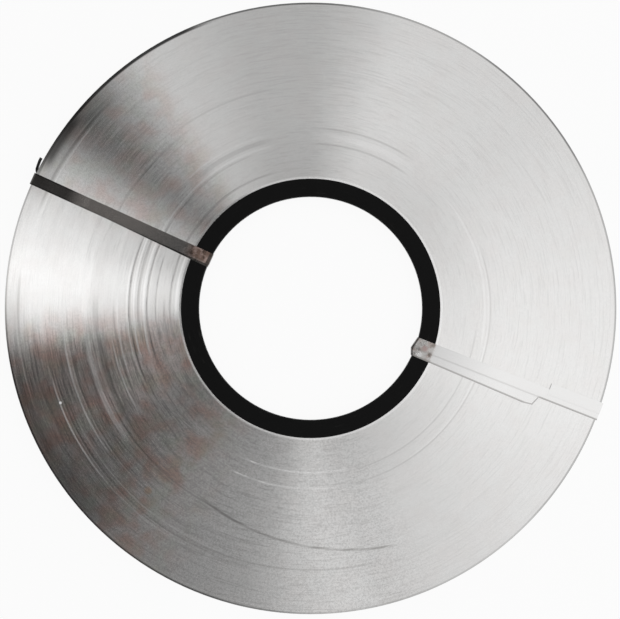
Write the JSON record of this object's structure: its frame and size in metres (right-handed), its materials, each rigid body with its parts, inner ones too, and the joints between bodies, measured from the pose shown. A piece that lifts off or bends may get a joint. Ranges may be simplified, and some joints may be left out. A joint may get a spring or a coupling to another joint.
{
  "type": "coil of nickel strip",
  "caption": "Flat pancake coil of bright nickel battery strip wound on a black plastic core, held by tie strips round its section.",
  "frame": {"origin": "on the floor under the middle of the bore, where the undersides of the ties lie", "axes": "+Z up along the coil's axis; seen from above, +X to the right and +Y up as in the picture"},
  "size_m": [0.41, 0.41, 0.0089],
  "materials": {
    "nickel_strip": "satin",
    "black_plastic": "matte",
    "nickel_tie": "satin"
  },
  "bodies": {
    "root": {"strip_coil": "nickel_strip", "core_ring": "black_plastic", "tie_strip_left": "nickel_tie", "tie_strip_right": "nickel_tie"}
  },
  "joints": []
}
